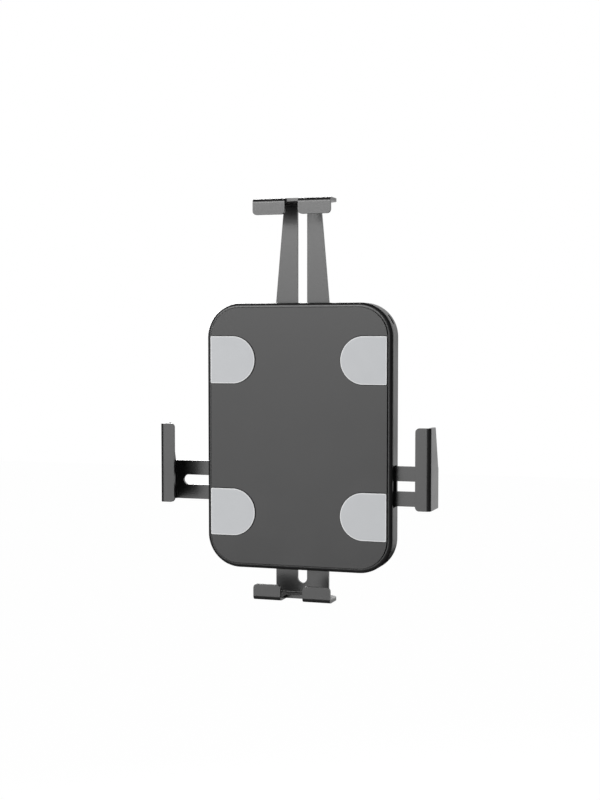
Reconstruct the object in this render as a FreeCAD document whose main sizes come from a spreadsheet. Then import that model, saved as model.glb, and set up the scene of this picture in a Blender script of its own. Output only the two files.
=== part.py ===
"""Wall mount for a tablet: a flat steel case with four sliding, hooked arms.

The case hangs on a small wall plate. Inside it a chassis carries the four arms, each guided by its own
strap and held by one clamp screw through a long slot. The front is a pressed cover with four soft pads.

Millimetres. +Z is up and the front looks towards -Y. The wall is the plane Y = 0, and the origin is the
centre of the wall plate's screw pattern. A level is a distance forward from the wall.
"""
import FreeCAD, Part
import Sketcher
import math
import os

Vector = FreeCAD.Vector

SIZES = [
    ("case_width", 122.2, "case, side to side"),
    ("case_height", 168.6, "case, top to bottom"),
    ("case_corner", 21.4, "corner radius seen from the front"),
    ("back_level", 2.2, "outside of the shell's back"),
    ("seam_level", 15.0, "front edge of the shell"),
    ("seam_gap", 0.4, "joint between shell and cover"),
    ("rim_level", 18.0, "the cover's rim"),
    ("shell_sheet", 1.5, "sheet of the shell"),
    ("back_round", 1.8, "rounded back edge of the shell"),
    ("front_sheet", 1.5, "sheet of the cover"),
    ("front_round", 2.3, "rounded front edge of the cover"),
    ("plateau_inset", 2.9, "case edge to plateau edge"),
    ("plateau_rise", 1.0, "plateau above the rim"),
    ("plateau_round", 0.3, "rounded edge of the plateau"),
    ("groove_width", 0.4, "groove pressed round the plateau's foot"),
    ("groove_depth", 0.5, "depth of that groove"),
    ("pad_length", 29.8, "soft pad, outer end to tip"),
    ("pad_height", 30.0, "soft pad, twice the tip radius"),
    ("pad_inset_up", 35.8, "case top to pad centre"),
    ("pad_rise", 1.0, "pad above the plateau"),
    ("pad_sink", 0.6, "seat pressed for the pad"),
    ("pad_gap", 0.4, "play round the pad in its seat"),
    ("pad_edge", 0.2, "pad end to plateau edge"),
    ("pad_round", 0.3, "rounded edge of the pad"),
    ("wall_sheet", 2.0, "wall plate"),
    ("wall_width", 100.0, "wall plate, side to side"),
    ("wall_height", 100.0, "wall plate, top to bottom"),
    ("wall_corner", 8.0, "corner radius of the wall plate"),
    ("wall_spacing", 75.0, "wall screws, centre to centre"),
    ("wall_hole_radius", 2.5, "wall screw holes"),
    ("wall_window_radius", 7.0, "room for a wall screw's head"),
    ("stud_across", 40.0, "hanging studs, side to side"),
    ("stud_up", 80.0, "hanging studs, top to bottom"),
    ("stud_neck_radius", 2.5, "neck of a hanging stud"),
    ("stud_head_radius", 4.5, "head of a hanging stud"),
    ("stud_head", 0.9, "thickness of a stud's head"),
    ("stud_gap", 0.1, "play behind a stud's head"),
    ("key_play", 0.2, "play between neck and keyhole"),
    ("key_entry_radius", 5.2, "wide end of a keyhole"),
    ("key_travel", 9.0, "drop onto the studs"),
    ("chassis_sheet", 2.0, "chassis plate"),
    ("chassis_gap", 0.9, "shell wall to chassis edge"),
    ("chassis_corner", 43.0, "large corner that clears the posts"),
    ("spacer_radius", 5.0, "spacer ring"),
    ("spacer_inset_across", 25.1, "case side to spacer"),
    ("spacer_inset_up", 16.4, "case top to spacer"),
    ("small_screw_radius", 1.5, "screws of chassis and cover"),
    ("small_head_radius", 3.0, "their flat round heads"),
    ("small_head", 1.2, "height of those heads"),
    ("small_drive", 1.1, "half width of their hexagon recess"),
    ("small_drive_depth", 0.7, "depth of that recess"),
    ("thread_gap", 0.02, "play drawn in a thread"),
    ("post_radius", 3.5, "cover post"),
    ("post_inset_across", 12.1, "case side to cover post"),
    ("post_inset_up", 12.1, "case top to cover post"),
    ("post_bite", 7.0, "screw length in a cover post"),
    ("arm_level", 7.0, "back of the arms"),
    ("arm_sheet", 2.0, "arms and hooks"),
    ("arm_gap", 0.2, "play of an arm in its guide"),
    ("bend_outside", 2.6, "outer radius of a fold"),
    ("bend_inside", 0.6, "inner radius of a fold"),
    ("grip_depth", 20.2, "arm to lip, inside the hook"),
    ("upright_lip", 10.0, "upper and lower lip, fold to free edge"),
    ("side_lip", 9.5, "side lips, fold to free edge"),
    ("lip_corner", 2.5, "rounded corners of a lip"),
    ("upright_ear", 13.8, "back edge of the upper and lower web at their ends"),
    ("upright_ear_round", 7.0, "rounded corners of those webs"),
    ("side_ear", 17.5, "back edge of the side webs at their upper end"),
    ("side_ear_round", 1.5, "rounded corner of those webs"),
    ("slot_width", 6.4, "adjusting slot"),
    ("slot_play", 0.3, "slot left past the last position"),
    ("blade_corner", 2.0, "rounded inner corners of an arm"),
    ("hook_width", 50.3, "all four hooks"),
    ("upright_width", 35.0, "upper and lower arm at the case"),
    ("upright_neck", 24.4, "upper arm at its hook"),
    ("side_width", 25.0, "side arms"),
    ("side_drop", 42.25, "lower edge of the side arms below the middle"),
    ("top_stand", 64.0, "case top to the upper hook's outside"),
    ("top_out", 6.0, "upper arm, travel outward"),
    ("top_hidden", 36.3, "length of the upper arm inside the case"),
    ("top_bridge", 4.5, "its slot end to the hook's outside"),
    ("top_notch", 8.6, "gap between the upper lips"),
    ("bottom_stand", 17.7, "case bottom to the lower hook's outside"),
    ("bottom_out", 6.0, "lower arm, travel outward"),
    ("bottom_hidden", 26.5, "length of the lower arm inside the case"),
    ("bottom_bridge", 8.3, "its slot end to the hook's outside"),
    ("bottom_notch", 14.5, "gap between the lower lips"),
    ("cable_bay", 12.0, "depth of the plug bay in the lower hook"),
    ("side_stand", 27.25, "case side to the side hooks' outside"),
    ("side_out", 5.0, "side arms, travel outward"),
    ("side_hidden", 29.1, "length of the side arms inside the case"),
    ("side_bridge", 6.8, "their slot end to the hook's outside"),
    ("notch_play", 0.5, "shell notch round an arm"),
    ("notch_back", 0.8, "shell notch behind an arm"),
    ("upright_clamp_inset", 8.0, "case edge to the clamp screws of the upper and lower arm"),
    ("side_clamp_inset", 9.1, "case side to the clamp screws of the side arms"),
    ("clamp_radius", 2.5, "clamp screw"),
    ("clamp_play", 0.1, "clamp screw in washer and chassis"),
    ("clamp_head_radius", 4.5, "its head"),
    ("clamp_head", 2.4, "height of the head"),
    ("clamp_access_radius", 5.3, "hole in the shell for the key"),
    ("key_flats", 3.0, "hexagon socket, across flats"),
    ("key_depth", 1.6, "depth of the socket"),
    ("washer_radius", 6.0, "clamp washer"),
    ("washer_sheet", 1.0, "thickness of the washer"),
    ("nut_flats", 8.0, "clamp nut, across flats"),
    ("nut_height", 4.0, "height of the nut"),
    ("thread_end", 0.8, "screw beyond the nut"),
    ("strap_sheet", 1.2, "guide strap"),
    ("strap_length", 6.0, "strap, along the arm"),
    ("strap_setback", 11.0, "clamp screw to strap"),
    ("strap_foot", 8.0, "foot of a strap"),
    ("strap_play", 0.3, "play beside the arm"),
    ("strap_bend", 0.3, "inner radius of a strap's folds"),
    ("rivet_radius", 1.5, "strap rivet"),
    ("rivet_head_radius", 2.6, "head of a rivet"),
    ("rivet_head", 0.9, "height of a rivet's head"),
    ("lock_length", 7.0, "slot for a cable lock"),
    ("lock_width", 3.4, "its width"),
    ("lock_angle", 31.0, "how far round the corner it sits, degrees"),
    ("lock_level", 9.4, "middle of that slot"),
    ("overrun", 1.0, "how far a cut runs past the sheet"),
]


class Formula:
    """A size worked out from the sheet: its number now and the text that the document binds to."""

    def __init__(self, number, text):
        self.number = float(number)
        self.text = text

    @staticmethod
    def of(value):
        if isinstance(value, Formula):
            return value
        return Formula(value, f"({value})")

    def __add__(self, other):
        other = Formula.of(other)
        return Formula(self.number + other.number, f"({self.text} + {other.text})")

    def __radd__(self, other):
        return Formula.of(other) + self

    def __sub__(self, other):
        other = Formula.of(other)
        return Formula(self.number - other.number, f"({self.text} - {other.text})")

    def __rsub__(self, other):
        return Formula.of(other) - self

    def __mul__(self, other):
        other = Formula.of(other)
        return Formula(self.number * other.number, f"({self.text} * {other.text})")

    def __rmul__(self, other):
        return Formula.of(other) * self

    def __truediv__(self, other):
        other = Formula.of(other)
        return Formula(self.number / other.number, f"({self.text} / {other.text})")

    def __neg__(self):
        return Formula.of(0) - self


class Sizes:
    """The driving sizes, each under its own name."""

    def __init__(self, rows):
        for name, value, meaning in rows:
            setattr(self, name, Formula(value, "Sizes." + name))


os.makedirs("parts", exist_ok=True)
doc = FreeCAD.newDocument("tablet_wall_mount")
sheet = doc.addObject("Spreadsheet::Sheet", "Sizes")
for row, (size_name, size_value, size_meaning) in enumerate(SIZES, start=1):
    sheet.set(f"A{row}", size_name)
    sheet.set(f"B{row}", str(size_value))
    sheet.set(f"C{row}", size_meaning)
    sheet.setAlias(f"B{row}", size_name)
doc.recompute()

s = Sizes(SIZES)
nodes = []
TINY = 1e-6

# Levels and places that several pieces share.
half_width = s.case_width / 2
half_height = s.case_height / 2
shell_inside = s.back_level + s.shell_sheet
chassis_front = s.arm_level - s.arm_gap
chassis_back = chassis_front - s.chassis_sheet
arm_front = s.arm_level + s.arm_sheet
washer_back = arm_front + s.arm_gap
nut_back = washer_back + s.washer_sheet
nut_front = nut_back + s.nut_height
lip_back = arm_front + s.grip_depth
lip_front = lip_back + s.arm_sheet
plateau_level = s.rim_level + s.plateau_rise
pad_level = plateau_level + s.pad_rise
rim_inside = s.rim_level - s.front_sheet
plateau_inside = plateau_level - s.front_sheet
plateau_half_width = half_width - s.plateau_inset
plateau_half_height = half_height - s.plateau_inset
pad_end = plateau_half_width - s.pad_edge
pad_middle = half_height - s.pad_inset_up
side_middle = s.side_width / 2 - s.side_drop
slot_half = s.slot_width / 2
upright_clamp = half_height - s.upright_clamp_inset
side_clamp = half_width - s.side_clamp_inset
clamp_places = [
    (0, upright_clamp),
    (0, -upright_clamp),
    (side_clamp, side_middle),
    (-side_clamp, side_middle),
]


def corners_of(across, up):
    """Four places, mirrored left to right and top to bottom."""
    return [(side * across, height * up) for side in (-1, 1) for height in (-1, 1)]


stud_places = corners_of(s.stud_across / 2, s.stud_up / 2)
wall_places = corners_of(s.wall_spacing / 2, s.wall_spacing / 2)
spacer_places = corners_of(half_width - s.spacer_inset_across, half_height - s.spacer_inset_up)
post_places = corners_of(half_width - s.post_inset_across, half_height - s.post_inset_up)


# How sketches are drawn and turned into solids.
def new_body(name):
    body = doc.addObject("PartDesign::Body", name)
    body.Label = name
    nodes.append(body)
    return body


def sketch_on(body, role, level):
    """A sketch on one of the body's own planes, moved along the plane's normal."""
    sketch = body.newObject("Sketcher::SketchObject", "outline")
    plane = next(item for item in body.Origin.OriginFeatures if item.Role == role)
    sketch.AttachmentSupport = (plane, [""])
    sketch.MapMode = "FlatFace"
    sketch.setExpression(".AttachmentOffset.Base.z", Formula.of(level).text)
    return sketch


def facing_front(body, level):
    """A sketch that looks at the front, at a level in front of the wall."""
    return sketch_on(body, "XZ_Plane", level)


def hold(sketch, kind, element, point, formula):
    """Fixes one coordinate of a point, or a radius, to a formula."""
    formula = Formula.of(formula)
    if kind == "Radius":
        constraint = Sketcher.Constraint(kind, element, formula.number)
    else:
        constraint = Sketcher.Constraint(kind, -1, 1, element, point, formula.number)
    index = sketch.addConstraint(constraint)
    sketch.setExpression(f"Constraints[{index}]", formula.text)


def hold_point(sketch, element, point, across, up):
    hold(sketch, "DistanceX", element, point, across)
    hold(sketch, "DistanceY", element, point, up)


def flat_point(across, up):
    return Vector(Formula.of(across).number, Formula.of(up).number, 0)


def polygon(sketch, points):
    """A closed outline of straight lines."""
    first = sketch.GeometryCount
    for index, start in enumerate(points):
        end = points[(index + 1) % len(points)]
        sketch.addGeometry(Part.LineSegment(flat_point(*start), flat_point(*end)), False)
    for index in range(len(points)):
        following = first + (index + 1) % len(points)
        sketch.addConstraint(Sketcher.Constraint("Coincident", first + index, 2, following, 1))
    for index, (across, up) in enumerate(points):
        hold_point(sketch, first + index, 1, across, up)


def rectangle(sketch, left, low, right, high):
    polygon(sketch, [(left, low), (right, low), (right, high), (left, high)])


def circle(sketch, across, up, radius):
    centre = flat_point(across, up)
    element = sketch.addGeometry(Part.Circle(centre, Vector(0, 0, 1), Formula.of(radius).number), False)
    hold(sketch, "Radius", element, 0, radius)
    hold_point(sketch, element, 3, across, up)


def arc(sketch, across, up, radius, start_turn, end_turn):
    """An arc, counter-clockwise, with its ends given in quarter turns."""
    ring = Part.Circle(flat_point(across, up), Vector(0, 0, 1), Formula.of(radius).number)
    start = start_turn * math.pi / 2
    end = end_turn * math.pi / 2
    element = sketch.addGeometry(Part.ArcOfCircle(ring, start, end), False)
    hold(sketch, "Radius", element, 0, radius)
    hold_point(sketch, element, 3, across, up)
    return element


def rounded_loop(sketch, arcs):
    """Joins arcs, each given as across, up, radius and quarter turns, by lines that touch them."""
    elements = [arc(sketch, *given) for given in arcs]
    for index, element in enumerate(elements):
        following = elements[(index + 1) % len(elements)]
        start = sketch.Geometry[element].EndPoint
        end = sketch.Geometry[following].StartPoint
        line = sketch.addGeometry(Part.LineSegment(start, end), False)
        sketch.addConstraint(Sketcher.Constraint("Tangent", element, 2, line, 1))
        sketch.addConstraint(Sketcher.Constraint("Tangent", line, 2, following, 1))


def rounded_rectangle(sketch, width, height, radius):
    across = width / 2 - radius
    up = height / 2 - radius
    rounded_loop(sketch, [
        (across, up, radius, 0, 1),
        (-across, up, radius, 1, 2),
        (-across, -up, radius, 2, 3),
        (across, -up, radius, 3, 4),
    ])


def upright_slot(sketch, across, low, high, half_slot):
    """A slot between two ends, with round ends."""
    rounded_loop(sketch, [
        (across, high - half_slot, half_slot, 0, 2),
        (across, low + half_slot, half_slot, 2, 4),
    ])


def hexagon(sketch, across, up, flats):
    """A hexagon with a flat on each side."""
    reach = flats / math.sqrt(3)
    points = []
    for corner in range(6):
        turn = math.radians(60 * corner + 30)
        points.append((across + reach * math.cos(turn), up + reach * math.sin(turn)))
    polygon(sketch, points)


def pad_outline(sketch, side, height, end, grown):
    """A pad's outline: straight at the case's edge, half round towards the middle."""
    radius = s.pad_height / 2 + grown
    centre = side * (pad_end - s.pad_length + s.pad_height / 2)
    up = height * pad_middle
    start_turn = 2 - side
    bow = arc(sketch, centre, up, radius, start_turn, start_turn + 2)
    outer = side * end
    corner_first = flat_point(outer, up - side * radius)
    corner_last = flat_point(outer, up + side * radius)
    away = sketch.addGeometry(Part.LineSegment(sketch.Geometry[bow].EndPoint, corner_first), False)
    edge = sketch.addGeometry(Part.LineSegment(corner_first, corner_last), False)
    home = sketch.addGeometry(Part.LineSegment(corner_last, sketch.Geometry[bow].StartPoint), False)
    sketch.addConstraint(Sketcher.Constraint("Tangent", bow, 2, away, 1))
    sketch.addConstraint(Sketcher.Constraint("Coincident", away, 2, edge, 1))
    sketch.addConstraint(Sketcher.Constraint("Coincident", edge, 2, home, 1))
    sketch.addConstraint(Sketcher.Constraint("Tangent", home, 2, bow, 1))
    sketch.addConstraint(Sketcher.Constraint("Horizontal", away))
    sketch.addConstraint(Sketcher.Constraint("Horizontal", home))
    sketch.addConstraint(Sketcher.Constraint("Vertical", edge))
    hold(sketch, "DistanceX", edge, 1, outer)


def pad(body, sketch, length):
    """Adds material along the sketch's normal."""
    feature = body.newObject("PartDesign::Pad", "pad")
    feature.Profile = sketch
    feature.setExpression("Length", Formula.of(length).text)
    doc.recompute()
    return feature


def pocket(body, sketch, length, forward=False):
    """Cuts against the sketch's normal, or along it."""
    before = body.Tip.Shape.Volume
    feature = body.newObject("PartDesign::Pocket", "cut")
    feature.Profile = sketch
    feature.Reversed = forward
    feature.setExpression("Length", Formula.of(length).text)
    doc.recompute()
    if feature.Shape.isNull() or feature.Shape.Volume > before - TINY:
        raise ValueError(f"{body.Label}: {feature.Name} cuts nothing")
    return feature


def round_edges(body, radius, wanted):
    """Rounds the edges of the body that the test picks."""
    base = body.Tip
    names = [f"Edge{index}" for index, edge in enumerate(base.Shape.Edges, start=1) if wanted(edge)]
    if not names:
        raise ValueError(f"{body.Label}: no edge to round")
    feature = body.newObject("PartDesign::Fillet", "round")
    feature.Base = (base, names)
    feature.setExpression("Radius", Formula.of(radius).text)
    doc.recompute()
    return feature


def at_level(edge, level):
    """Whether an edge lies wholly at one level."""
    box = edge.BoundBox
    here = -Formula.of(level).number
    return abs(box.YMin - here) < TINY and abs(box.YMax - here) < TINY


def along(edge, direction):
    """Whether an edge is a straight line that runs along a direction."""
    if edge.Curve.TypeId != "Part::GeomLine":
        return False
    return abs(edge.Curve.Direction.dot(direction)) > 1 - TINY


def cut_holes(body, places, radius, level, length):
    """Round holes from one level forward."""
    sketch = facing_front(body, level)
    for across, up in places:
        circle(sketch, across, up, radius)
    pocket(body, sketch, length, forward=True)


# The rear shell: a drawn tray, open at the front, with a notch for each arm.
def make_rear_shell():
    body = new_body("rear_shell")
    outline = facing_front(body, s.back_level)
    rounded_rectangle(outline, s.case_width, s.case_height, s.case_corner)
    pad(body, outline, s.seam_level - s.back_level)
    round_edges(body, s.back_round, lambda edge: at_level(edge, s.back_level))
    base = body.Tip
    faces = base.Shape.Faces
    front = max(range(len(faces)), key=lambda index: -faces[index].CenterOfMass.y)
    hollow = body.newObject("PartDesign::Thickness", "hollow")
    hollow.Base = (base, [f"Face{front + 1}"])
    hollow.Reversed = True
    hollow.setExpression("Value", s.shell_sheet.text)
    doc.recompute()

    notches = facing_front(body, s.seam_level)
    upright = s.upright_width / 2 + s.notch_play
    side = s.side_width / 2 + s.notch_play
    wall = s.shell_sheet + s.back_round
    for hand in (-1, 1):
        up_ends = hand * (half_height - wall), hand * (half_height + s.overrun)
        side_ends = hand * (half_width - wall), hand * (half_width + s.overrun)
        rectangle(notches, -upright, up_ends[0], upright, up_ends[1])
        rectangle(notches, side_ends[0], side_middle - side, side_ends[1], side_middle + side)
    pocket(body, notches, s.seam_level - s.arm_level + s.notch_back)

    through = s.shell_sheet + s.overrun
    cut_holes(body, wall_places, s.wall_window_radius, s.back_level, through)
    cut_holes(body, clamp_places, s.clamp_access_radius, s.back_level, through)
    cut_holes(body, spacer_places + post_places, s.small_screw_radius + s.clamp_play, s.back_level, through)
    entries = [(across, up - s.key_travel) for across, up in stud_places]
    cut_holes(body, entries, s.key_entry_radius, s.back_level, through)
    necks = facing_front(body, s.back_level)
    neck = s.stud_neck_radius + s.key_play
    for across, up in stud_places:
        upright_slot(necks, across, up - s.key_travel - neck, up + neck, neck)
    pocket(body, necks, through, forward=True)

    lock = body.newObject("Sketcher::SketchObject", "lock_slot")
    plane = next(item for item in body.Origin.OriginFeatures if item.Role == "XZ_Plane")
    lock.AttachmentSupport = (plane, [""])
    lock.MapMode = "FlatFace"
    turn = math.radians(s.lock_angle.number)
    outward = Vector(math.cos(turn), math.sin(turn), 0)
    round_corner = Vector(-math.sin(turn), math.cos(turn), 0)
    forward = Vector(0, 0, 1)
    reach = s.case_corner.number + s.overrun.number
    corner_across = (half_width - s.case_corner).number
    corner_up = (half_height - s.case_corner).number
    middle = Vector(corner_across, corner_up, s.lock_level.number)
    facing_out = FreeCAD.Rotation(forward, -round_corner, outward, "ZXY")
    lock.AttachmentOffset = FreeCAD.Placement(middle + outward * reach, facing_out)
    upright_slot(lock, 0, -s.lock_length / 2, s.lock_length / 2, s.lock_width / 2)
    pocket(body, lock, s.shell_sheet + 2 * s.overrun)


# The cover: a pressed plate with a rounded rim, a raised plateau and four seats for the pads.
def make_front_plate():
    body = new_body("front_plate")
    skirt = s.seam_level + s.seam_gap
    rim = facing_front(body, skirt)
    rounded_rectangle(rim, s.case_width, s.case_height, s.case_corner)
    pad(body, rim, s.rim_level - skirt)
    round_edges(body, s.front_round, lambda edge: at_level(edge, s.rim_level))
    plateau = facing_front(body, s.rim_level)
    plateau_corner = s.case_corner - s.plateau_inset
    rounded_rectangle(plateau, 2 * plateau_half_width, 2 * plateau_half_height, plateau_corner)
    pad(body, plateau, s.plateau_rise)
    round_edges(body, s.plateau_round, lambda edge: at_level(edge, plateau_level))
    groove = facing_front(body, s.rim_level)
    grown = 2 * s.groove_width
    rounded_rectangle(groove, 2 * plateau_half_width, 2 * plateau_half_height, plateau_corner)
    rounded_rectangle(groove, 2 * plateau_half_width + grown, 2 * plateau_half_height + grown,
                      plateau_corner + s.groove_width)
    pocket(body, groove, s.groove_depth)

    inner_rim = facing_front(body, skirt)
    inner = s.case_corner - s.front_sheet
    rounded_rectangle(inner_rim, s.case_width - 2 * s.front_sheet, s.case_height - 2 * s.front_sheet, inner)
    pocket(body, inner_rim, rim_inside - skirt, forward=True)
    under = facing_front(body, rim_inside)
    inset = 2 * (plateau_half_width - s.front_sheet)
    rounded_rectangle(under, inset, 2 * (plateau_half_height - s.front_sheet), plateau_corner - s.front_sheet)
    pocket(body, under, s.plateau_rise, forward=True)

    seats = facing_front(body, plateau_level)
    for side in (-1, 1):
        for height in (-1, 1):
            pad_outline(seats, side, height, plateau_half_width + s.pad_gap, s.pad_gap)
    pocket(body, seats, s.pad_sink)


# A soft pad: a flat D that grips the back of the tablet.
def make_pad(name, side, height):
    body = new_body(name)
    outline = facing_front(body, plateau_level - s.pad_sink)
    pad_outline(outline, side, height, pad_end, 0)
    pad(body, outline, s.pad_sink + s.pad_rise)
    round_edges(body, s.pad_round, lambda edge: at_level(edge, pad_level))


# The wall plate, with the screw pattern that holds the whole mount.
def make_wall_plate():
    body = new_body("wall_plate")
    outline = facing_front(body, 0)
    rounded_rectangle(outline, s.wall_width, s.wall_height, s.wall_corner)
    pad(body, outline, s.wall_sheet)
    through = s.wall_sheet + s.overrun
    cut_holes(body, wall_places, s.wall_hole_radius, 0, through)


# Headed studs on the wall plate, which the shell's keyholes drop over.
def make_wall_studs():
    body = new_body("wall_studs")
    head_back = shell_inside + s.stud_gap
    necks = facing_front(body, s.wall_sheet)
    heads = facing_front(body, head_back)
    for across, up in stud_places:
        circle(necks, across, up, s.stud_neck_radius)
        circle(heads, across, up, s.stud_head_radius)
    pad(body, necks, head_back - s.wall_sheet)
    pad(body, heads, s.stud_head)


# The chassis plate that carries the arms.
def make_chassis_plate():
    body = new_body("chassis_plate")
    edge = 2 * (s.shell_sheet + s.chassis_gap)
    outline = facing_front(body, chassis_back)
    rounded_rectangle(outline, s.case_width - edge, s.case_height - edge, s.chassis_corner)
    pad(body, outline, s.chassis_sheet)
    through = s.chassis_sheet + s.overrun
    cut_holes(body, clamp_places, s.clamp_radius + s.clamp_play, chassis_back, through)
    cut_holes(body, spacer_places, s.small_screw_radius + s.thread_gap, chassis_back, through)
    cut_holes(body, rivet_places(), s.rivet_radius + s.thread_gap, chassis_back, through)


def make_spacers():
    """Rings that keep the chassis off the shell's back."""
    body = new_body("chassis_spacers")
    rings = facing_front(body, shell_inside)
    for across, up in spacer_places:
        circle(rings, across, up, s.spacer_radius)
        circle(rings, across, up, s.small_screw_radius + s.clamp_play)
    pad(body, rings, chassis_back - shell_inside)


def make_small_screws(name, places, end_level):
    """Flat-headed screws, put in from the back of the shell."""
    body = new_body(name)
    heads = facing_front(body, s.back_level - s.small_head)
    shanks = facing_front(body, s.back_level)
    drives = facing_front(body, s.back_level - s.small_head)
    for across, up in places:
        circle(heads, across, up, s.small_head_radius)
        circle(shanks, across, up, s.small_screw_radius)
        hexagon(drives, across, up, 2 * s.small_drive)
    pad(body, heads, s.small_head)
    pad(body, shanks, end_level - s.back_level)
    pocket(body, drives, s.small_drive_depth, forward=True)


# Posts on the back of the cover, one in each corner.
def make_posts():
    body = new_body("front_posts")
    posts = facing_front(body, shell_inside)
    for across, up in post_places:
        circle(posts, across, up, s.post_radius)
    pad(body, posts, plateau_inside - shell_inside)
    bore = s.small_screw_radius + s.thread_gap
    cut_holes(body, post_places, bore, shell_inside, s.post_bite + s.overrun)


# Clamp screws, their washers and nuts: one of each holds an arm where it was slid.
def make_clamp_screws():
    body = new_body("clamp_screws")
    head_back = chassis_back - s.clamp_head
    heads = facing_front(body, head_back)
    shanks = facing_front(body, chassis_back)
    sockets = facing_front(body, head_back)
    for across, up in clamp_places:
        circle(heads, across, up, s.clamp_head_radius)
        circle(shanks, across, up, s.clamp_radius)
        hexagon(sockets, across, up, s.key_flats)
    pad(body, heads, s.clamp_head)
    pad(body, shanks, nut_front + s.thread_end - chassis_back)
    pocket(body, sockets, s.key_depth, forward=True)


def make_clamp_washers():
    body = new_body("clamp_washers")
    rings = facing_front(body, washer_back)
    for across, up in clamp_places:
        circle(rings, across, up, s.washer_radius)
        circle(rings, across, up, s.clamp_radius + s.clamp_play)
    pad(body, rings, s.washer_sheet)


def make_clamp_nuts():
    body = new_body("clamp_nuts")
    nuts = facing_front(body, nut_back)
    for across, up in clamp_places:
        hexagon(nuts, across, up, s.nut_flats)
        circle(nuts, across, up, s.clamp_radius + s.thread_gap)
    pad(body, nuts, s.nut_height)


# An arm: one folded sheet with a slotted blade, a web and a lip. It is drawn pointing up, with its hook
# between two edges, and then turned to its own side of the case.
ARMS = {
    "top": {
        "turn": 0, "edge": half_height, "reach": half_height + s.top_stand,
        "tail": half_height - s.top_hidden, "out": s.top_out, "bridge": s.top_bridge, "lip": s.upright_lip,
        "clamp": upright_clamp, "middle": Formula.of(0), "width": s.upright_width,
        "neck": s.upright_neck, "hook": (-s.hook_width / 2, s.hook_width / 2),
        "notch": s.top_notch, "bay": s.arm_sheet + s.bend_inside,
        "ear": s.upright_ear, "ear_round": s.upright_ear_round,
    },
    "bottom": {
        "turn": 180, "edge": half_height, "reach": half_height + s.bottom_stand,
        "tail": half_height - s.bottom_hidden, "out": s.bottom_out, "bridge": s.bottom_bridge,
        "lip": s.upright_lip, "clamp": upright_clamp, "middle": Formula.of(0),
        "width": s.upright_width, "neck": s.upright_width,
        "hook": (-s.hook_width / 2, s.hook_width / 2), "notch": s.bottom_notch, "bay": s.cable_bay,
        "ear": s.upright_ear, "ear_round": s.upright_ear_round,
    },
    "right": {
        "turn": 90, "edge": half_width, "reach": half_width + s.side_stand,
        "tail": half_width - s.side_hidden, "out": s.side_out, "bridge": s.side_bridge, "lip": s.side_lip,
        "clamp": side_clamp, "middle": -side_middle, "width": s.side_width, "neck": s.side_width,
        "hook": (s.side_drop - s.hook_width, s.side_drop), "notch": None, "bay": None,
        "ear": s.side_ear, "ear_round": s.side_ear_round,
    },
    "left": {
        "turn": -90, "edge": half_width, "reach": half_width + s.side_stand,
        "tail": half_width - s.side_hidden, "out": s.side_out, "bridge": s.side_bridge, "lip": s.side_lip,
        "clamp": side_clamp, "middle": side_middle, "width": s.side_width, "neck": s.side_width,
        "hook": (-s.side_drop, s.hook_width - s.side_drop), "notch": None, "bay": None,
        "ear": s.side_ear, "ear_round": s.side_ear_round,
    },
}


def turned(arm):
    """The turn that brings a piece drawn pointing up to its arm's side."""
    return FreeCAD.Placement(Vector(0, 0, 0), FreeCAD.Rotation(Vector(0, 1, 0), arm["turn"]))


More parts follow.
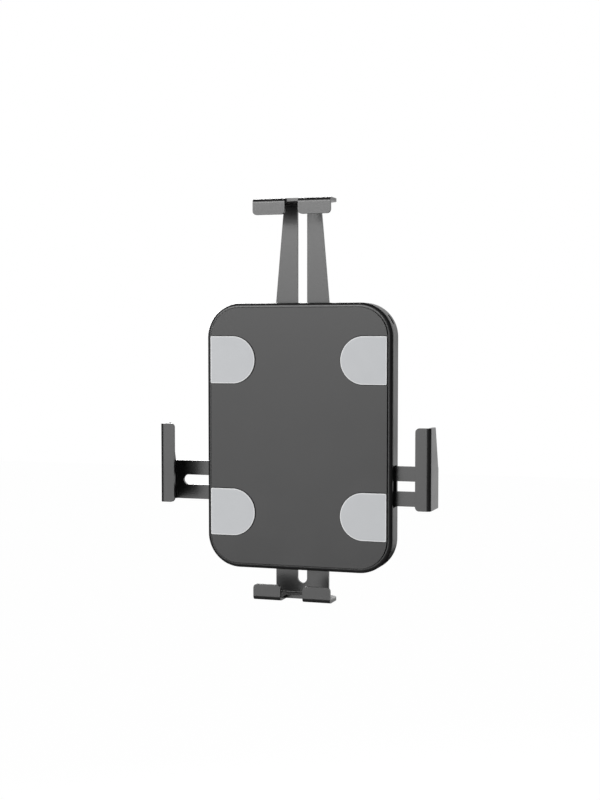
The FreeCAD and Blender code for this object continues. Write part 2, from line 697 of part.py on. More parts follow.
def make_arm(name, arm):
    body = new_body(name)
    low, high = arm["hook"]
    reach = arm["reach"]
    fold = sketch_on(body, "YZ_Plane", low)
    polygon(fold, [
        (-s.arm_level, arm["tail"]),
        (-s.arm_level, reach),
        (-lip_front, reach),
        (-lip_front, reach - arm["lip"]),
        (-lip_back, reach - arm["lip"]),
        (-lip_back, reach - s.arm_sheet),
        (-arm_front, reach - s.arm_sheet),
        (-arm_front, arm["tail"]),
    ])
    pad(body, fold, high - low)
    across = Vector(1, 0, 0)

    def folded_at(up, levels):
        """Picks the edges across the sheet at one height and at either of two levels."""
        def wanted(edge):
            box = edge.BoundBox
            if not along(edge, across) or abs(box.ZMax - up.number) > TINY:
                return False
            return any(abs(box.YMax + level.number) < TINY for level in levels)
        return wanted

    round_edges(body, s.bend_outside, folded_at(reach, (s.arm_level, lip_front)))
    round_edges(body, s.bend_inside, folded_at(reach - s.arm_sheet, (arm_front, lip_back)))

    shoulder = reach - s.bend_outside - s.overrun
    cut_level = arm_front + s.overrun
    cut_depth = s.arm_sheet + 2 * s.overrun
    for side, hook_end in ((-1, low), (1, high)):
        blade = arm["middle"] + side * arm["width"] / 2
        neck = arm["middle"] + side * arm["neck"] / 2
        if abs(hook_end.number - neck.number) < TINY:
            continue
        beyond = hook_end + side * s.overrun
        flank = facing_front(body, cut_level)
        polygon(flank, [
            (beyond, arm["tail"] - s.overrun),
            (blade, arm["tail"] - s.overrun),
            (blade, arm["edge"]),
            (neck, shoulder),
            (beyond, shoulder),
        ])
        pocket(body, flank, cut_depth)
        slope = sketch_on(body, "XY_Plane", reach + s.overrun)
        polygon(slope, [
            (neck, -s.arm_level + s.overrun),
            (neck, -cut_level),
            (hook_end, -arm["ear"]),
            (beyond, -arm["ear"]),
            (beyond, -s.arm_level + s.overrun),
        ])
        pocket(body, slope, reach + s.overrun - shoulder)

    slot = facing_front(body, cut_level)
    slot_in = arm["clamp"] - slot_half - arm["out"] - s.slot_play
    upright_slot(slot, arm["middle"], slot_in, reach - arm["bridge"], slot_half)
    pocket(body, slot, cut_depth)

    if arm["notch"] is not None:
        gap = facing_front(body, lip_front + s.overrun)
        half_gap = arm["notch"] / 2
        rectangle(gap, -half_gap, reach - arm["lip"] - s.overrun, half_gap, reach + s.overrun)
        pocket(body, gap, s.overrun + arm["bay"])

    forward = Vector(0, 1, 0)
    upward = Vector(0, 0, 1)
    lip_end = (reach - arm["lip"]).number
    tail = arm["tail"].number
    round_edges(body, arm["ear_round"],
                lambda edge: along(edge, upward) and abs(edge.BoundBox.YMax + arm["ear"].number) < TINY)
    round_edges(body, s.lip_corner,
                lambda edge: along(edge, forward) and abs(edge.BoundBox.ZMax - lip_end) < TINY)
    round_edges(body, s.blade_corner,
                lambda edge: along(edge, forward) and abs(edge.BoundBox.ZMax - tail) < TINY)
    body.Placement = turned(arm)


def foot_reach(arm):
    """From an arm's middle line to the middle of a strap's foot."""
    return arm["width"] / 2 + s.strap_play + s.strap_sheet + s.strap_foot / 2


def rivet_places():
    """Where the strap rivets go through the chassis, seen from the front."""
    places = []
    for arm in ARMS.values():
        for side in (-1, 1):
            beside = arm["middle"] + side * foot_reach(arm)
            outward = arm["clamp"] - s.strap_setback
            quarter = {0: (beside, outward), 180: (-beside, -outward),
                       90: (outward, -beside), -90: (-outward, beside)}
            places.append(quarter[arm["turn"]])
    return places


def make_strap(name, arm):
    """A strap bent over an arm, with a foot on the chassis at each side."""
    body = new_body(name)
    middle = arm["middle"]
    inner = arm["width"] / 2 + s.strap_play
    outer = inner + s.strap_sheet
    foot = outer + s.strap_foot
    foot_front = chassis_front + s.strap_sheet
    bridge_front = washer_back + s.strap_sheet
    hat = sketch_on(body, "XY_Plane", arm["clamp"] - s.strap_setback - s.strap_length / 2)
    polygon(hat, [
        (middle - foot, -chassis_front),
        (middle - inner, -chassis_front),
        (middle - inner, -washer_back),
        (middle + inner, -washer_back),
        (middle + inner, -chassis_front),
        (middle + foot, -chassis_front),
        (middle + foot, -foot_front),
        (middle + outer, -foot_front),
        (middle + outer, -bridge_front),
        (middle - outer, -bridge_front),
        (middle - outer, -foot_front),
        (middle - foot, -foot_front),
    ])
    pad(body, hat, s.strap_length)

    def folded_at(across, level):
        """Picks the two edges along a strap's folds, one at each side."""
        places = ((middle - across).number, (middle + across).number)

        def wanted(edge):
            box = edge.BoundBox
            if not along(edge, Vector(0, 0, 1)) or abs(box.YMax + level.number) > TINY:
                return False
            return any(abs(box.XMax - place) < TINY for place in places)
        return wanted

    for across, level in ((inner, chassis_front), (outer, bridge_front)):
        round_edges(body, s.strap_bend + s.strap_sheet, folded_at(across, level))
    for across, level in ((inner, washer_back), (outer, foot_front)):
        round_edges(body, s.strap_bend, folded_at(across, level))
    holes = facing_front(body, chassis_front)
    outward = arm["clamp"] - s.strap_setback
    for side in (-1, 1):
        circle(holes, middle + side * foot_reach(arm), outward, s.rivet_radius + s.thread_gap)
    pocket(body, holes, s.strap_sheet + s.overrun, forward=True)
    body.Placement = turned(arm)


def make_strap_rivets():
    body = new_body("strap_rivets")
    foot_front = chassis_front + s.strap_sheet
    shanks = facing_front(body, chassis_back)
    heads = facing_front(body, foot_front)
    for across, up in rivet_places():
        circle(shanks, across, up, s.rivet_radius)
        circle(heads, across, up, s.rivet_head_radius)
    pad(body, shanks, foot_front - chassis_back)
    pad(body, heads, s.rivet_head)


make_rear_shell()
make_front_plate()
for pad_name, pad_side, pad_up in (
    ("pad_upper_left", -1, 1), ("pad_upper_right", 1, 1),
    ("pad_lower_left", -1, -1), ("pad_lower_right", 1, -1),
):
    make_pad(pad_name, pad_side, pad_up)
make_wall_plate()
make_wall_studs()
make_chassis_plate()
make_spacers()
make_small_screws("chassis_screws", spacer_places, chassis_front)
make_posts()
make_small_screws("front_screws", post_places, shell_inside + s.post_bite)
make_clamp_screws()
make_clamp_washers()
make_clamp_nuts()
for arm_name, arm_plan in ARMS.items():
    make_arm(f"{arm_name}_arm", arm_plan)
    make_strap(f"{arm_name}_strap", arm_plan)
make_strap_rivets()

doc.recompute()
for item in doc.Objects:
    if "Invalid" in item.State or "Error" in item.State:
        raise ValueError(f"{item.Label} did not build")
for node in nodes:
    if node.Shape.isNull() or not node.Shape.isValid():
        raise ValueError(f"{node.Label} has no sound solid")
    node.Shape.exportStep(f"parts/{node.Label}.step")
    box = node.Shape.BoundBox
    print(node.Label, len(node.Shape.Solids), round(node.Shape.Volume, 1),
          [round(value, 2) for value in (box.XMin, box.YMin, box.ZMin, box.XMax, box.YMax, box.ZMax)])
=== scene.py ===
# %% [markdown]
# # A wall mount for a tablet
#
# The real object is a flat steel case on a small wall plate. Four slotted arms slide out of its
# sides, and each ends in a folded hook that reaches round a tablet. Four light grey pads on the
# cover keep the tablet off the paint.
#
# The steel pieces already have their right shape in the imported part, so this lesson loads them as
# a fixed frame and gives them their finishes. Only the soft pads are modelled anew.

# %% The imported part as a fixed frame
import math

import bmesh
import bpy
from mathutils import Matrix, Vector


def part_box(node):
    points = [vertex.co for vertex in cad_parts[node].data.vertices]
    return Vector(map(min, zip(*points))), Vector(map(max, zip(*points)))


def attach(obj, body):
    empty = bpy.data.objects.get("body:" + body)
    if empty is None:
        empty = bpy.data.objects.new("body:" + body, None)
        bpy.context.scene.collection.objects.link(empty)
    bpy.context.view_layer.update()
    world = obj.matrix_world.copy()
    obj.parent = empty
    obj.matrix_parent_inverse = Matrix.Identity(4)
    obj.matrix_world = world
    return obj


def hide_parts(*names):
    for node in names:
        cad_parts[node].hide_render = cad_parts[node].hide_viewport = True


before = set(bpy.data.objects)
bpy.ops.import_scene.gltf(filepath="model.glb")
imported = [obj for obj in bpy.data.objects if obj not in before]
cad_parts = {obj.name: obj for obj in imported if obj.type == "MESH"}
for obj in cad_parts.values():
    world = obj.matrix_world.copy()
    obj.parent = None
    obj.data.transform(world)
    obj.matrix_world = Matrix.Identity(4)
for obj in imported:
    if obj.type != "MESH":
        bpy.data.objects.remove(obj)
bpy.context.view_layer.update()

print("nodes:", len(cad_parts))

# %% [markdown]
# ## Lengths
#
# Blender works in metres and a sheet metal shop in millimetres. One factor keeps every length in
# this file in millimetres, which is easier to check against a ruler.

# %% Millimetres
MM = 0.001


def in_mm(point):
    """A point in millimetres, rounded for printing."""
    return [round(value / MM, 1) for value in point]


# %% [markdown]
# ## Wires and finishes
#
# A finish is a network of shader nodes. It could be clicked together in the editor, or written
# node by node, but both hide the idea behind the plumbing. Here a small class wraps one socket,
# so that a sum or a product of masks is written as plain maths, and one method adds any other
# node: first its settings, then what feeds it.

# %% A socket that understands maths
class Wire:
    """A socket that sends out a value. Maths on it adds Math nodes to the same finish."""

    def __init__(self, finish, socket):
        self.finish = finish
        self.socket = socket

    def maths(self, operation, first, second):
        return self.finish.add("ShaderNodeMath", {"operation": operation}, {0: first, 1: second})

    def __add__(self, other):
        return self.maths("ADD", self, other)

    def __radd__(self, other):
        return self.maths("ADD", other, self)

    def __sub__(self, other):
        return self.maths("SUBTRACT", self, other)

    def __rsub__(self, other):
        return self.maths("SUBTRACT", other, self)

    def __mul__(self, other):
        return self.maths("MULTIPLY", self, other)

    def __rmul__(self, other):
        return self.maths("MULTIPLY", other, self)

    def or_more(self, other):
        """The larger of two values."""
        return self.maths("MAXIMUM", self, other)


# %% A finish and its one way to add a node
OUTLETS = {"Material": "ShaderNodeOutputMaterial", "World": "ShaderNodeOutputWorld"}


class Finish:
    """The nodes of a material or of the world."""

    def __init__(self, owner):
        owner.use_nodes = True
        self.owner = owner
        self.nodes = owner.node_tree.nodes
        self.links = owner.node_tree.links
        self.nodes.clear()
        self.outlet = self.nodes.new(OUTLETS[type(owner).__name__])

    def feed(self, socket, value):
        """Sets a socket to a plain value, or links a wire to it."""
        if isinstance(value, Wire):
            self.links.new(value.socket, socket)
        else:
            socket.default_value = value

    def add(self, kind, settings, inputs, result=0):
        """Adds a node, sets it up, feeds its sockets and gives back the wire that it sends out."""
        node = self.nodes.new(kind)
        for name, value in settings.items():
            if name == "stops":
                self.set_stops(node.color_ramp, value)
            else:
                setattr(node, name, value)
        for name, value in inputs.items():
            self.feed(node.inputs[name], value)
        return Wire(self, node.outputs[result])

    def set_stops(self, ramp, stops):
        """Gives a ramp its stops, each a place and a grey level."""
        while len(ramp.elements) < len(stops):
            ramp.elements.new(1.0)
        for element, (place, level) in zip(ramp.elements, stops):
            element.position = place
            element.color = (level, level, level, 1.0)

    def show(self, shader, socket="Surface"):
        """Sends a shader to the outlet."""
        self.links.new(shader.socket, self.outlet.inputs[socket])
        return self.owner


print("finish kit ready for:", ", ".join(OUTLETS))

# %% [markdown]
# ## Patterns that finishes share
#
# Every pattern is laid out in the object's own metres, so a grain of paint has its real size on
# every piece. Noise makes the grain, the cloudy variation and the places where wear happens. An
# edge is found with the Bevel node: it gives the normal that a rounded edge would have, and where
# that turns away from the real normal there is a sharp edge.

# %% Grain, clouds and edges
def metres(finish):
    """Where a point is on the object, in metres."""
    return finish.add("ShaderNodeTexCoord", {}, {}, "Object")


def grain(finish, size, detail):
    """Noise whose features are about one size across, from 0 to 1."""
    return finish.add("ShaderNodeTexNoise", {"noise_dimensions": "3D"}, {
        "Vector": metres(finish), "Scale": 1.0 / size, "Detail": detail,
    })


def scaled(colour, factor):
    """A colour made lighter or darker, never above 1, with the alpha that a socket wants."""
    return (*[min(1.0, channel * factor) for channel in colour], 1.0)


def ramp(finish, value, stops):
    """Shapes a value with a ramp of grey levels."""
    return finish.add("ShaderNodeValToRGB", {"stops": stops}, {"Fac": value})


def colours_mixed(finish, share, first, second):
    """Goes from the first colour to the second as the share goes from 0 to 1."""
    return finish.add("ShaderNodeMix", {"data_type": "RGBA"}, {
        "Factor": share, "A": first, "B": second,
    }, "Result")


def soft_normal(finish, radius):
    """The normal of a piece whose sharp edges are broken to a radius."""
    return finish.add("ShaderNodeBevel", {"samples": 6}, {"Radius": radius}, "Normal")


def edge_share(finish, radius):
    """1 on sharp edges and 0 away from them."""
    plain = finish.add("ShaderNodeNewGeometry", {}, {}, "Normal")
    agree = finish.add("ShaderNodeVectorMath", {"operation": "DOT_PRODUCT"}, {
        0: soft_normal(finish, radius), 1: plain,
    }, "Value")
    return ramp(finish, 1.0 - agree, [(0.02, 0.0), (0.25, 1.0)])


def standing_out(finish, reach):
    """1 on faces and outer edges, 0 down in grooves and inner corners."""
    open_sky = finish.add("ShaderNodeAmbientOcclusion", {"samples": 6, "only_local": True}, {
        "Distance": reach,
    }, "AO")
    return ramp(finish, open_sky, [(0.55, 0.0), (0.85, 1.0)])


def along(finish, axis):
    """How far a point is from the mount's middle along an axis, to either side."""
    place = finish.add("ShaderNodeSeparateXYZ", {}, {"Vector": metres(finish)}, axis)
    return finish.add("ShaderNodeMath", {"operation": "ABSOLUTE"}, {0: place})


def within(finish, value, low, high):
    """1 between two values and 0 outside of them."""
    above = finish.add("ShaderNodeMath", {"operation": "GREATER_THAN"}, {0: value, 1: low})
    return above * finish.add("ShaderNodeMath", {"operation": "LESS_THAN"}, {0: value, 1: high})


# %% [markdown]
# ## Baked paint on steel
#
# The case, the cover and the arms are pressed from steel sheet, phosphated and sprayed with dark
# powder, which melts to a smooth, satin skin. The skin could be one flat grey with a fixed
# roughness, but real powder shows three things: an orange peel as fine as a grain of salt, cloudy
# changes of gloss where hands and cloths have been, and a thinner, paler coat on sharp edges.
# Each is one line of maths here. On the cover the pale edge is far paler than wear: there it is a
# painted highlight along the rim. Neither wear nor painted highlight reaches the seats of the
# pads, and the gap round a pad stays matt from the glue, so the seats get a mask of their own.

# %% Powder coat
CLOUD = 22 * MM
PEEL = 1.3 * MM
SPECK = 0.35 * MM
EDGE_PATCH = 5 * MM
PALE_EDGE = 0.25 * MM
GROOVE_REACH = 0.8 * MM
BROKEN_EDGE = 0.1 * MM
PAINT_RELIEF = 0.03 * MM
LIGHT_SPOTS = 1.35
# Where the pads' seats begin and end, to either side of the mount's middle.
SEAT_ACROSS = (27.0 * MM, 57.5 * MM)
SEAT_UP = (32.4 * MM, 64.4 * MM)


def powder_coat(name, colour, roughness, ior, edge_wear_and_highlight):
    """Satin powder coat; paler sharp edges are wear, and a painted highlight where far paler."""
    finish = Finish(bpy.data.materials.new(name))
    clouds = grain(finish, CLOUD, 3.0)
    peel = grain(finish, PEEL, 2.0)
    speck = grain(finish, SPECK, 1.0)
    patchy = ramp(finish, grain(finish, EDGE_PATCH, 4.0), [(0.35, 0.35), (0.7, 1.0)])
    in_seat_across = within(finish, along(finish, "X"), *SEAT_ACROSS)
    in_seat = in_seat_across * within(finish, along(finish, "Z"), *SEAT_UP)
    exposed = standing_out(finish, GROOVE_REACH)
    # Sharp open edges outside the seats: wear, and on the cover a painted highlight.
    sharp_edge_mask = edge_share(finish, PALE_EDGE) * exposed * patchy * (1.0 - in_seat)
    glued = (1.0 - exposed) * in_seat
    tone = colours_mixed(finish, clouds * 0.35 + speck * 0.15,
                         scaled(colour, 1.0), scaled(colour, LIGHT_SPOTS))
    skin = colours_mixed(finish, sharp_edge_mask * 0.6, tone, scaled(colour, edge_wear_and_highlight))
    handled = (clouds - 0.5) * 0.12 + (speck - 0.5) * 0.06
    gloss = roughness + handled - sharp_edge_mask * 0.08 + glued * 0.6
    relief = finish.add("ShaderNodeBump", {}, {
        "Strength": 0.28, "Distance": PAINT_RELIEF, "Height": peel + speck * 0.4,
        "Normal": soft_normal(finish, BROKEN_EDGE),
    })
    shader = finish.add("ShaderNodeBsdfPrincipled", {}, {
        "Base Color": skin, "Roughness": gloss, "Normal": relief, "Metallic": 0.0, "IOR": ior,
    })
    print("powder coat:", name)
    return finish.show(shader)


# The cover's edges are 42 times paler than its paint: a painted highlight along its rim.
COVER_PAINT = powder_coat("cover_paint", (0.012, 0.012, 0.0122), 0.31, 1.510, 42.0)
SHELL_PAINT = powder_coat("shell_paint", (0.019, 0.019, 0.0193), 0.36, 1.46, 2.5)
ARM_PAINT = powder_coat("arm_paint", (0.014, 0.014, 0.014), 0.30, 1.645, 5.0)

# %% [markdown]
# ## Zinc and black oxide
#
# Hidden steel isn't painted. The chassis, the straps and the small turned parts are zinc plated:
# a cool, faintly blotchy metal with fine rolling marks. The screws are blackened in hot salts,
# which leaves a thin, oily, dark skin that wears bright on the edges first. Both are metal from
# edge to edge, so the metallic value stays at 1 and only the colour and the roughness vary.

# %% Bare and blackened steel
BLOTCH = 6 * MM
# Rolling marks are fine across the sheet and long up the sheet, so the noise is stretched upward.
ROLLING_LINES = (900.0, 900.0, 60.0)
BRIGHT_EDGE = 0.4 * MM
TURNED_EDGE = 0.2 * MM
ROLLED_RELIEF = 0.02 * MM
DULL_SPOTS = 0.78


def plated_steel(name, colour, roughness, worn_colour):
    """Metal with rolling marks, blotches and bright edges."""
    finish = Finish(bpy.data.materials.new(name))
    blotches = grain(finish, BLOTCH, 4.0)
    rolling = finish.add("ShaderNodeTexNoise", {"noise_dimensions": "3D"}, {
        "Vector": finish.add("ShaderNodeVectorMath", {"operation": "MULTIPLY"}, {
            0: metres(finish), 1: ROLLING_LINES}, "Vector"),
        "Scale": 3.0, "Detail": 2.0,
    })
    sharp_edge_mask = edge_share(finish, BRIGHT_EDGE)
    tone = colours_mixed(finish, blotches, scaled(colour, DULL_SPOTS), scaled(colour, 1.0))
    skin = colours_mixed(finish, sharp_edge_mask * 0.7, tone, scaled(worn_colour, 1.0))
    gloss = roughness + (blotches - 0.5) * 0.2 + (rolling - 0.5) * 0.12 - sharp_edge_mask * 0.1
    relief = finish.add("ShaderNodeBump", {}, {
        "Strength": 0.25, "Distance": ROLLED_RELIEF, "Height": rolling,
        "Normal": soft_normal(finish, TURNED_EDGE),
    })
    shader = finish.add("ShaderNodeBsdfPrincipled", {}, {
        "Base Color": skin, "Roughness": gloss, "Normal": relief, "Metallic": 1.0,
    })
    print("plated steel:", name)
    return finish.show(shader)


ZINC = plated_steel("zinc_plate", (0.62, 0.64, 0.66), 0.34, (0.78, 0.78, 0.77))
BLACK_OXIDE = plated_steel("black_oxide", (0.07, 0.07, 0.075), 0.42, (0.32, 0.31, 0.30))

# %% [markdown]
# ## The steel pieces get their finishes
#
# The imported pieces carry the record's slot names. A short table says which finish each slot
# takes, and one loop puts it on. That way a piece can't be forgotten: a slot without a finish
# stops the script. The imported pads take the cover's paint, which isn't seen, because the next
# step puts soft pads in their place.

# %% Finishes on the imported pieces
FINISH_OF = {
    "cover_black": COVER_PAINT,
    "shell_black": SHELL_PAINT,
    "arm_black": ARM_PAINT,
    "zinc_steel": ZINC,
    "dark_fastener": BLACK_OXIDE,
    "pad_grey": COVER_PAINT,
}
for name, node in sorted(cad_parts.items()):
    for place in node.material_slots:
        place.material = FINISH_OF[place.material.name.split(".")[0]]
print("finished pieces:", len(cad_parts))

# %% [markdown]
# ## The soft pads
#
# Each pad is a die-cut D of light grey foam rubber, about a millimetre proud of the cover, glued
# into a pressed seat with foam tape. The tape's near black is painted shade: it stands for the
# shade in the gap at the pad's side, which shows as a dark line. The packed solid has only the
# outline. Here the pad is built ring by ring: the tape stands back a little, the skin's lower edge
# is crisp from the knife, its upper edge is pressed round and painted paler as a highlight, and
# the face swells by a tenth of a millimetre between its edges. Rings keep the outline exact, which
# a subdivided box wouldn't.

# %% Foam rubber and tape
FOAM_CELL = 0.45 * MM
FOAM_CLOUD = 9 * MM
FOAM_RELIEF = 0.03 * MM
FOAM_SHADE = 0.94


def foam_rubber(name, colour):
    """Closed-cell rubber: matt, finely pitted and a little cloudy."""
    finish = Finish(bpy.data.materials.new(name))
    cells = finish.add("ShaderNodeTexVoronoi", {"feature": "F1"}, {
        "Vector": metres(finish), "Scale": 1.0 / FOAM_CELL, "Randomness": 1.0,
    }, "Distance")
    clouds = grain(finish, FOAM_CLOUD, 3.0)
    tone = colours_mixed(finish, clouds * 0.5 + cells * 0.2,
                         scaled(colour, 1.0), scaled(colour, FOAM_SHADE))
    gloss = 0.62 + (clouds - 0.5) * 0.12
    relief = finish.add("ShaderNodeBump", {}, {
        "Strength": 0.3, "Distance": FOAM_RELIEF, "Height": cells,
    })
    shader = finish.add("ShaderNodeBsdfPrincipled", {}, {
        "Base Color": tone, "Roughness": gloss, "Normal": relief, "IOR": 1.45,
    })
    print("foam rubber:", name)
    return finish.show(shader)


PAD_RUBBER = foam_rubber("pad_rubber", (0.454, 0.464, 0.477))
# Painted highlight: the pressed rim of each pad is a paler rubber than its face.
PAD_RIM_HIGHLIGHT = foam_rubber("pad_rim", (0.640, 0.646, 0.653))
# Painted shade: the tape at the pad's foot is near black, for the shade in the gap beside it.
PAD_TAPE_SHADE = foam_rubber("pad_tape", (0.008, 0.008, 0.008))

# %% One pad, ring by ring
PAD_CORNER = 0.8 * MM
LEAST_CORNER = 0.15 * MM
PAD_TURNS = 48
CORNER_TURNS = 5
CREASE = math.radians(50)

# Each ring: how far it lies inside the outline and how far below the pad's face, both in
# millimetres. The first band between rings is the tape, painted near black as shade; those up to
# the eighth are the pressed rim, painted paler as a highlight.
PAD_RINGS = [
    (0.08, 1.60), (0.08, 0.55), (0.02, 0.55), (0.00, 0.50), (0.00, 0.34), (0.04, 0.24),
    (0.14, 0.15), (0.32, 0.10), (0.60, 0.08), (1.60, 0.05), (4.00, 0.02), (8.00, 0.00),
    (13.00, 0.00),
]
TAPE_SHADE_RINGS = 1
RIM_HIGHLIGHT_RINGS = 8
RUBBER, RIM_HIGHLIGHT, TAPE_SHADE = range(3)


def pad_ring(outer, tip, middle, half_height, inset):
    """Points round a D, from its lower outer corner to its upper one by way of the round end."""
    inward = math.copysign(1.0, tip - outer)
    radius = half_height - inset
    centre = tip - inward * half_height
    corner = max(PAD_CORNER - inset, LEAST_CORNER)
    end = outer + inward * inset
    points = []
    for height in (-1, 1):
        turns = []
        for step in range(CORNER_TURNS + 1):
            turn = math.pi / 2 * step / CORNER_TURNS
            across = end + inward * corner * (1 - math.cos(turn))
            up = middle + height * (radius - corner * (1 - math.sin(turn)))
            turns.append((across, up))
        if height < 0:
            points += turns
            for step in range(1, PAD_TURNS):
                turn = math.pi * step / PAD_TURNS - math.pi / 2
                across = centre + inward * radius * math.cos(turn)
                points.append((across, middle + radius * math.sin(turn)))
        else:
            points += reversed(turns)
    return points


def make_pad(node):
    """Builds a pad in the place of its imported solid."""
    low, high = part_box(node)
    from_left = low.x < 0
    outer, tip = (low.x, high.x) if from_left else (high.x, low.x)
    middle = (low.z + high.z) / 2
    half_height = (high.z - low.z) / 2
    shape = bmesh.new()
    rings = []
    for inset, below in PAD_RINGS:
        level = low.y + below * MM
        points = pad_ring(outer, tip, middle, half_height, inset * MM)
        rings.append([shape.verts.new((across, level, up)) for across, up in points])
    for index, (ring, following) in enumerate(zip(rings, rings[1:])):
        # The tape band is painted shade and the rim band a painted highlight.
        skin = TAPE_SHADE if index < TAPE_SHADE_RINGS else RIM_HIGHLIGHT if index < RIM_HIGHLIGHT_RINGS else RUBBER
        for step in range(len(ring)):
            beside = (step + 1) % len(ring)
            corners = ring[step], ring[beside], following[beside], following[step]
            shape.faces.new(corners).material_index = skin
    shape.faces.new(rings[-1])
    shape.faces.new(list(reversed(rings[0]))).material_index = TAPE_SHADE
    bmesh.ops.recalc_face_normals(shape, faces=shape.faces)
    mesh = bpy.data.meshes.new(node.replace("pad_", "rubber_pad_"))
    shape.to_mesh(mesh)
    shape.free()
    for rubber in (PAD_RUBBER, PAD_RIM_HIGHLIGHT, PAD_TAPE_SHADE):
        mesh.materials.append(rubber)
    mesh.shade_smooth()
    mesh.set_sharp_from_angle(angle=CREASE)
    piece = bpy.data.objects.new(mesh.name, mesh)
    bpy.context.scene.collection.objects.link(piece)
    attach(piece, "case")
    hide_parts(node)
    print(piece.name, "faces:", len(mesh.polygons), "from", in_mm(low), "to", in_mm(high))


for node in ("pad_upper_left", "pad_upper_right", "pad_lower_left", "pad_lower_right"):
    make_pad(node)

# %% [markdown]
# ## Floor and backdrop
#
# The mount hangs at its working height over a pale floor. Floor and surroundings are white to the
# camera and in reflections, by way of Light Path, and dimmer as a source of light, so the white
# never floods the paint. The floor keeps a share of its real shading, which carries the shadow,
# and its white is a trace above 1 to make up for that share.

# %% White surroundings
def to_the_eye(finish):
    """1 for rays that end in the picture: seen straight, mirrored, or through glass."""
    def kind(name):
        return finish.add("ShaderNodeLightPath", {}, {}, name)
    seen_or_mirrored = kind("Is Camera Ray").or_more(kind("Is Glossy Ray"))
    return seen_or_mirrored.or_more(kind("Is Transmission Ray"))


ROOM_LIGHT = 0.25
WHITE = (1.0, 1.0, 1.0, 1.0)
world = bpy.data.worlds.new("studio")
bpy.context.scene.world = world
air = Finish(world)
brightness = to_the_eye(air) * (1.0 - ROOM_LIGHT) + ROOM_LIGHT
air.show(air.add("ShaderNodeBackground", {}, {"Color": WHITE, "Strength": brightness}))
print("room light for diffuse rays:", ROOM_LIGHT)

# %% Pale floor
FLOOR_DROP = 0.9
FLOOR_HALF = 9.0
FLOOR_SHADING = 0.08
FLOOR_GREY = (0.80, 0.80, 0.80, 1.0)
FLOOR_WHITE = 1.06
floor_mesh = bpy.data.meshes.new("floor")
floor_mesh.from_pydata([
    (-FLOOR_HALF, -FLOOR_HALF, -FLOOR_DROP), (FLOOR_HALF, -FLOOR_HALF, -FLOOR_DROP),
    (FLOOR_HALF, FLOOR_HALF, -FLOOR_DROP), (-FLOOR_HALF, FLOOR_HALF, -FLOOR_DROP),
], [], [(0, 1, 2, 3)])
floor = bpy.data.objects.new("floor", floor_mesh)
bpy.context.scene.collection.objects.link(floor)
pale = Finish(bpy.data.materials.new("pale_floor"))
shaded = pale.add("ShaderNodeBsdfDiffuse", {}, {"Color": FLOOR_GREY})
white = pale.add("ShaderNodeEmission", {}, {"Color": WHITE, "Strength": FLOOR_WHITE})
floor_mesh.materials.append(pale.show(pale.add("ShaderNodeMixShader", {}, {
    0: to_the_eye(pale) * (1.0 - FLOOR_SHADING), 1: shaded, 2: white,
})))
print("floor below the mount's middle, m:", FLOOR_DROP)

# %% [markdown]
# ## The dark room in front
#
# A studio is dark behind the camera, and that darkness is what draws the crisp black line along a
# rounded steel edge. Black cards could be set up one by one, but a drape round the front, the
# sides and the top does the same for every edge. It is a deep bowl with its opening behind the
# mount, and only reflections meet it: the camera and the soft light pass through.

# %% Studio drape
DRAPE_RADIUS = 4.0
DRAPE_OPENING = math.radians(141)
DRAPE_RINGS = 12
DRAPE_SEGMENTS = 32
DRAPE_HEM = 0.04 - FLOOR_DROP
CLOTH_BLACK = (0.01, 0.01, 0.01, 1.0)


def drape_point(ring, segment):
    """A point of the bowl, counted from in front of the mount. Below, the bowl ends at its hem."""
    away = DRAPE_OPENING * ring / DRAPE_RINGS
    turn = 2 * math.pi * segment / DRAPE_SEGMENTS
    side = DRAPE_RADIUS * math.sin(away)
    depth = -DRAPE_RADIUS * math.cos(away)
    return side * math.cos(turn), depth, max(side * math.sin(turn), DRAPE_HEM)


drape_points = [
    drape_point(ring, segment)
    for ring in range(1, DRAPE_RINGS + 1) for segment in range(DRAPE_SEGMENTS)
]
drape_faces = []
for ring in range(DRAPE_RINGS - 1):
    for segment in range(DRAPE_SEGMENTS):
        here = ring * DRAPE_SEGMENTS + segment
        beside = ring * DRAPE_SEGMENTS + (segment + 1) % DRAPE_SEGMENTS
        drape_faces.append((here, beside, beside + DRAPE_SEGMENTS, here + DRAPE_SEGMENTS))
drape_faces.append(tuple(reversed(range(DRAPE_SEGMENTS))))
drape_mesh = bpy.data.meshes.new("drape")
drape_mesh.from_pydata(drape_points, [], drape_faces)
drape = bpy.data.objects.new("drape", drape_mesh)
bpy.context.scene.collection.objects.link(drape)
cloth = Finish(bpy.data.materials.new("black_drape"))
matt = cloth.add("ShaderNodeBsdfDiffuse", {}, {"Color": CLOTH_BLACK})
drape_mesh.materials.append(cloth.show(matt))
drape.visible_camera = False
drape.visible_diffuse = False
drape.visible_transmission = False
drape.visible_shadow = False
print("drape faces:", len(drape_faces))

# %% [markdown]
# ## Light
#
# A bright soft box high on the left in front gives the sheen on the upper edges. A larger, dimmer
# one stands at the mount's own height and is what the flat steel mirrors, so it sets how grey the
# cover looks. A third stands behind on the left for the views of the back, where the side wall
# that the camera sees doesn't mirror it. All are large and near, so no shadow is hard.

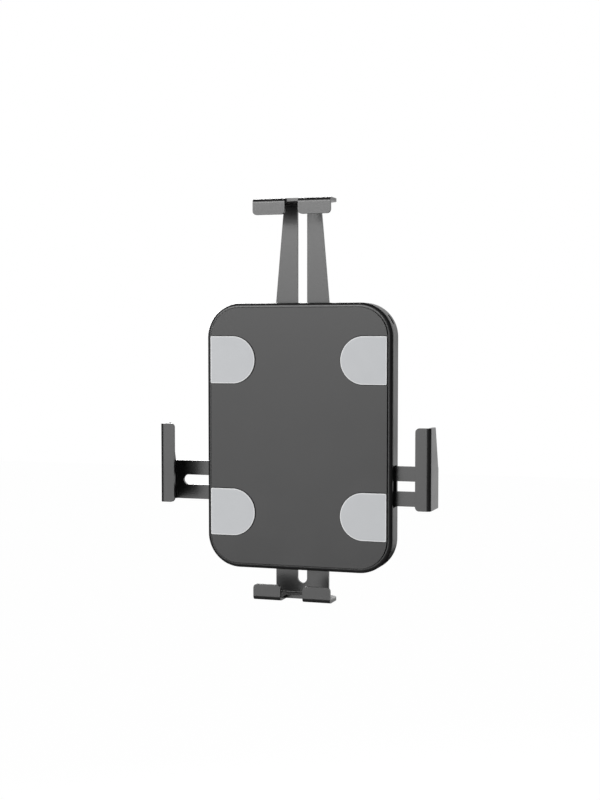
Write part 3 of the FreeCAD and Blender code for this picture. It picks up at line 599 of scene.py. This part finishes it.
# %% Soft boxes
def soft_box(name, place, aim, size, watts):
    """A flat lamp at a place, turned towards a point. Its size is across and up, in metres."""
    lamp = bpy.data.lights.new(name, "AREA")
    lamp.shape = "RECTANGLE"
    lamp.size, lamp.size_y = size
    lamp.energy = watts
    holder = bpy.data.objects.new(name, lamp)
    holder.location = place
    holder.rotation_mode = "QUATERNION"
    holder.rotation_quaternion = (Vector(aim) - Vector(place)).to_track_quat("-Z", "Y")
    bpy.context.scene.collection.objects.link(holder)
    print("soft box", name, "at", place, "size", size, "watts", watts)


MIDDLE = (0.0, 0.0, 0.02)
soft_box("key", (-0.50, -1.40, 0.69), MIDDLE, (1.1, 0.68), 15.2)
soft_box("front", (-0.52, -1.52, 0.01), MIDDLE, (1.3, 1.15), 10.6)
soft_box("back", (-1.05, 1.15, 0.70), MIDDLE, (1.3, 1.1), 44.0)

# %% [markdown]
# ## Camera
#
# The photograph was taken a little from the right and from just above the middle. The camera's
# place and lens follow from the outlines of the four pads and the hooks, which lie in known
# planes. The picture's middle is a little above the lens axis, so a small shift brings the mount
# to its place in the frame.

# %% Camera at the photograph's angle
SENSOR = 36.0
FRAME_HEIGHT = 800
FOCAL_PIXELS = 1430.3
AXIS_DROP_PIXELS = 25.0
EYE = Vector((0.28131, -0.86936, 0.06273))
LOOK = Vector((-0.31170, 0.94821, -0.06116))

camera_data = bpy.data.cameras.new("camera")
camera_data.sensor_width = SENSOR
camera_data.lens = FOCAL_PIXELS / FRAME_HEIGHT * SENSOR
camera_data.shift_y = AXIS_DROP_PIXELS / FRAME_HEIGHT
camera_data.clip_start = 0.01
camera_data.clip_end = 60.0
camera = bpy.data.objects.new("camera", camera_data)
camera.location = EYE
camera.rotation_mode = "QUATERNION"
camera.rotation_quaternion = LOOK.to_track_quat("-Z", "Y")
bpy.context.scene.collection.objects.link(camera)
bpy.context.scene.camera = camera
bpy.context.scene.view_settings.view_transform = "Standard"
print("lens:", round(camera_data.lens, 2), "mm, shift:", camera_data.shift_y)
